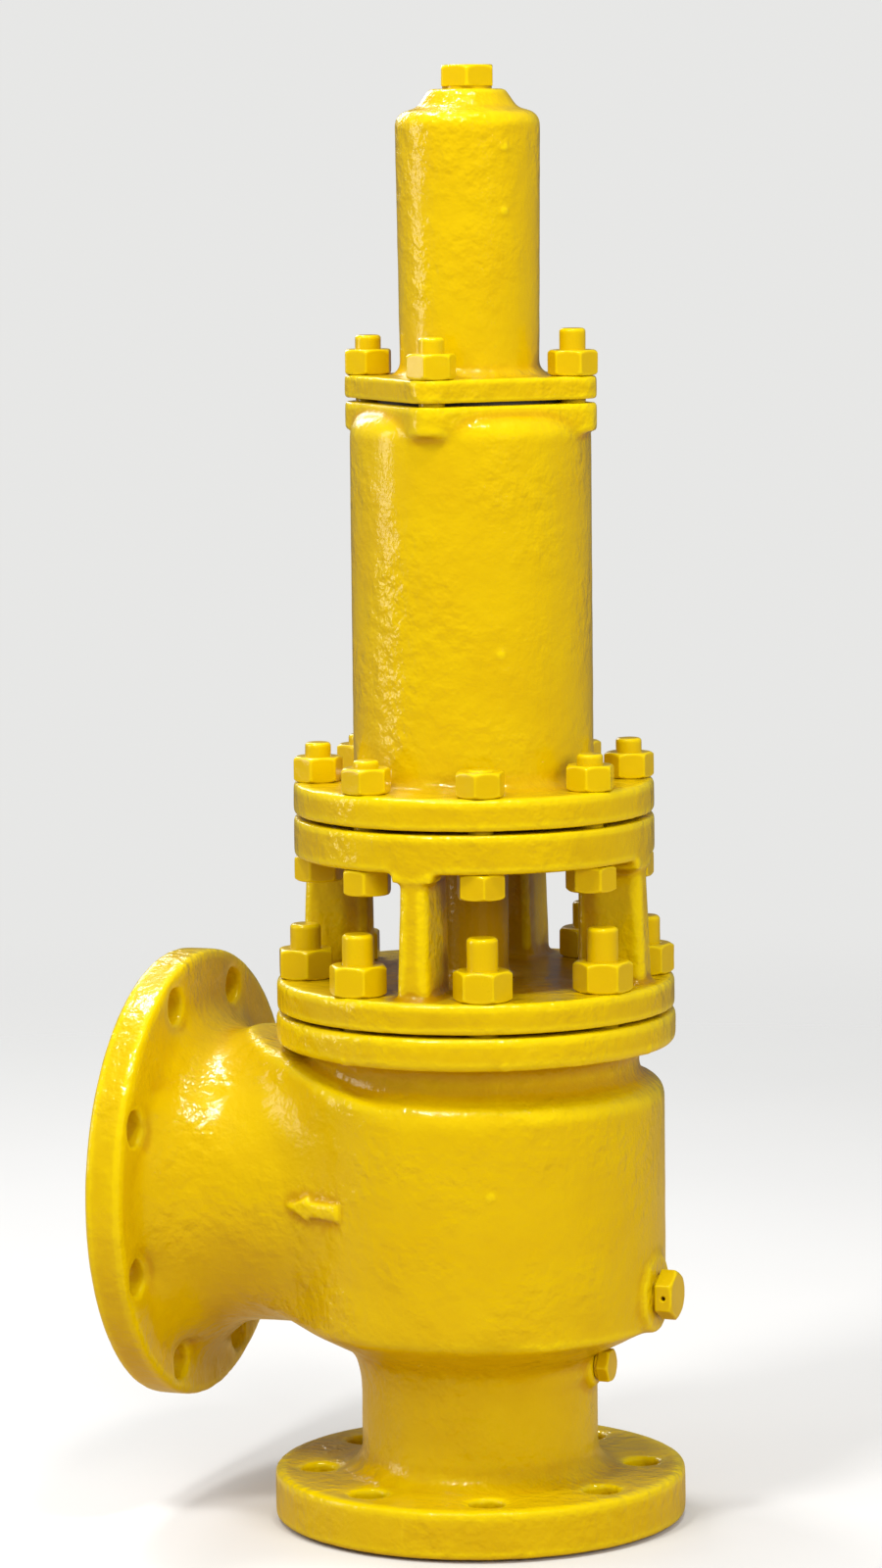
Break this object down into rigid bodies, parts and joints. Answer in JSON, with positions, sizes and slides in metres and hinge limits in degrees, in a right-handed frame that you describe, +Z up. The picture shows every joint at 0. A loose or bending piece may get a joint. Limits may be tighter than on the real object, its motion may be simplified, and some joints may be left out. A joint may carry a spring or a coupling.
{
  "type": "flanged safety relief valve",
  "caption": "Angle-pattern spring safety valve with flanged inlet and side outlet, open cooling lantern, closed bonnet and screwed cap.",
  "frame": {"origin": "centre of the inlet's raised face", "axes": "+Z up the spindle, -X out of the outlet flange, the ring set screw on +X"},
  "size_m": [0.3345, 0.2794, 0.8915],
  "materials": {
    "casting_enamel": "glossy yellow enamel brushed over cast steel",
    "fastener_enamel": "the same yellow enamel, thicker in the corners of nuts and screws",
    "stainless_trim": "fine-turned stainless steel, lapped on the seat",
    "turned_steel": "turned steel with a thin film of oil",
    "spring_enamel": "dark baked enamel on spring wire",
    "bush_bronze": "turned bronze",
    "gasket_sheet": "matt graphite sheet"
  },
  "bodies": {
    "housing": {"body": "casting_enamel", "nozzle": "stainless_trim", "guide": "stainless_trim", "lantern_gasket": "gasket_sheet", "lantern": "casting_enamel", "spindle_bush": "bush_bronze", "lantern_studs": "fastener_enamel", "lantern_nuts": "fastener_enamel", "bonnet_gasket": "gasket_sheet", "bonnet": "casting_enamel", "bonnet_studs": "fastener_enamel", "bonnet_upper_nuts": "fastener_enamel", "bonnet_lower_nuts": "fastener_enamel", "spring": "spring_enamel", "cap_gasket": "gasket_sheet", "cap": "casting_enamel", "cap_studs": "fastener_enamel", "cap_nuts": "fastener_enamel"},
    "lifting_group": {"disc": "stainless_trim", "disc_clip": "turned_steel", "disc_holder": "stainless_trim", "spindle_pin": "turned_steel", "spindle": "turned_steel", "lower_spring_washer": "turned_steel"},
    "blowdown_ring": {"nozzle_ring": "stainless_trim"},
    "set_screw_seal": {"set_screw_gasket": "fastener_enamel"},
    "set_screw": {"ring_set_screw": "fastener_enamel"},
    "drain_seal": {"drain_plug_gasket": "fastener_enamel"},
    "drain": {"drain_plug": "fastener_enamel"},
    "spring_stop": {"upper_spring_washer": "turned_steel"},
    "pressure_screw": {"adjusting_screw": "turned_steel"},
    "jam_nut": {"lock_nut": "turned_steel"},
    "cap_plug_seal": {"cap_plug_gasket": "fastener_enamel"},
    "cap_plug_screw": {"cap_plug": "fastener_enamel"}
  },
  "joints": [
    {"name": "disc_lift", "type": "slide", "parent": "housing", "child": "lifting_group", "axis": [0, 0, 1], "range_m": [0, 0.015], "stiffness_N_per_m": 138000, "deforming": ["spring"]},
    {"name": "blowdown_ring_turn", "type": "hinge", "parent": "housing", "child": "blowdown_ring", "pos_m": [0, 0, 0.14], "axis": [0, 0, 1], "range_deg": [-0.9, 0.9]},
    {"name": "set_screw_travel", "type": "slide", "parent": "housing", "child": "set_screw_seal", "axis": [1, 0, 0], "range_m": [0, 0.0142]},
    {"name": "set_screw_turn", "type": "hinge", "parent": "set_screw_seal", "child": "set_screw", "pos_m": [0.117, 0, 0.1455], "axis": [1, 0, 0], "range_deg": [0, 2520]},
    {"name": "drain_travel", "type": "slide", "parent": "housing", "child": "drain_seal", "axis": [1, 0, 0], "range_m": [0, 0.015]},
    {"name": "drain_turn", "type": "hinge", "parent": "drain_seal", "child": "drain", "pos_m": [0.078, 0, 0.099], "axis": [1, 0, 0], "range_deg": [0, 3610]},
    {"name": "spring_stop_travel", "type": "slide", "parent": "housing", "child": "spring_stop", "axis": [0, 0, 1], "range_m": [-0.0086, 0.0043], "deforming": ["spring"]},
    {"name": "pressure_screw_turn", "type": "hinge", "parent": "spring_stop", "child": "pressure_screw", "pos_m": [0, 0, 0.7], "axis": [0, 0, 1], "range_deg": [-720, 360]},
    {"name": "jam_nut_turn", "type": "hinge", "parent": "housing", "child": "jam_nut", "pos_m": [0, 0, 0.7], "axis": [0, 0, 1], "range_deg": [0, 60]},
    {"name": "cap_plug_travel", "type": "slide", "parent": "housing", "child": "cap_plug_seal", "axis": [0, 0, 1], "range_m": [0, 0.0222]},
    {"name": "cap_plug_turn", "type": "hinge", "parent": "cap_plug_seal", "child": "cap_plug_screw", "pos_m": [0, 0, 0.877], "axis": [0, 0, 1], "range_deg": [0, 3960]}
  ],
  "couplings": [
    {"joint": "set_screw_travel", "follows": "set_screw_turn", "m_per_rad": 0.00031831},
    {"joint": "drain_turn", "follows": "drain_travel", "rad_per_m": 4188.8},
    {"joint": "spring_stop_travel", "follows": "pressure_screw_turn", "m_per_rad": 0.00067323},
    {"joint": "cap_plug_travel", "follows": "cap_plug_turn", "m_per_rad": 0.00031831}
  ]
}
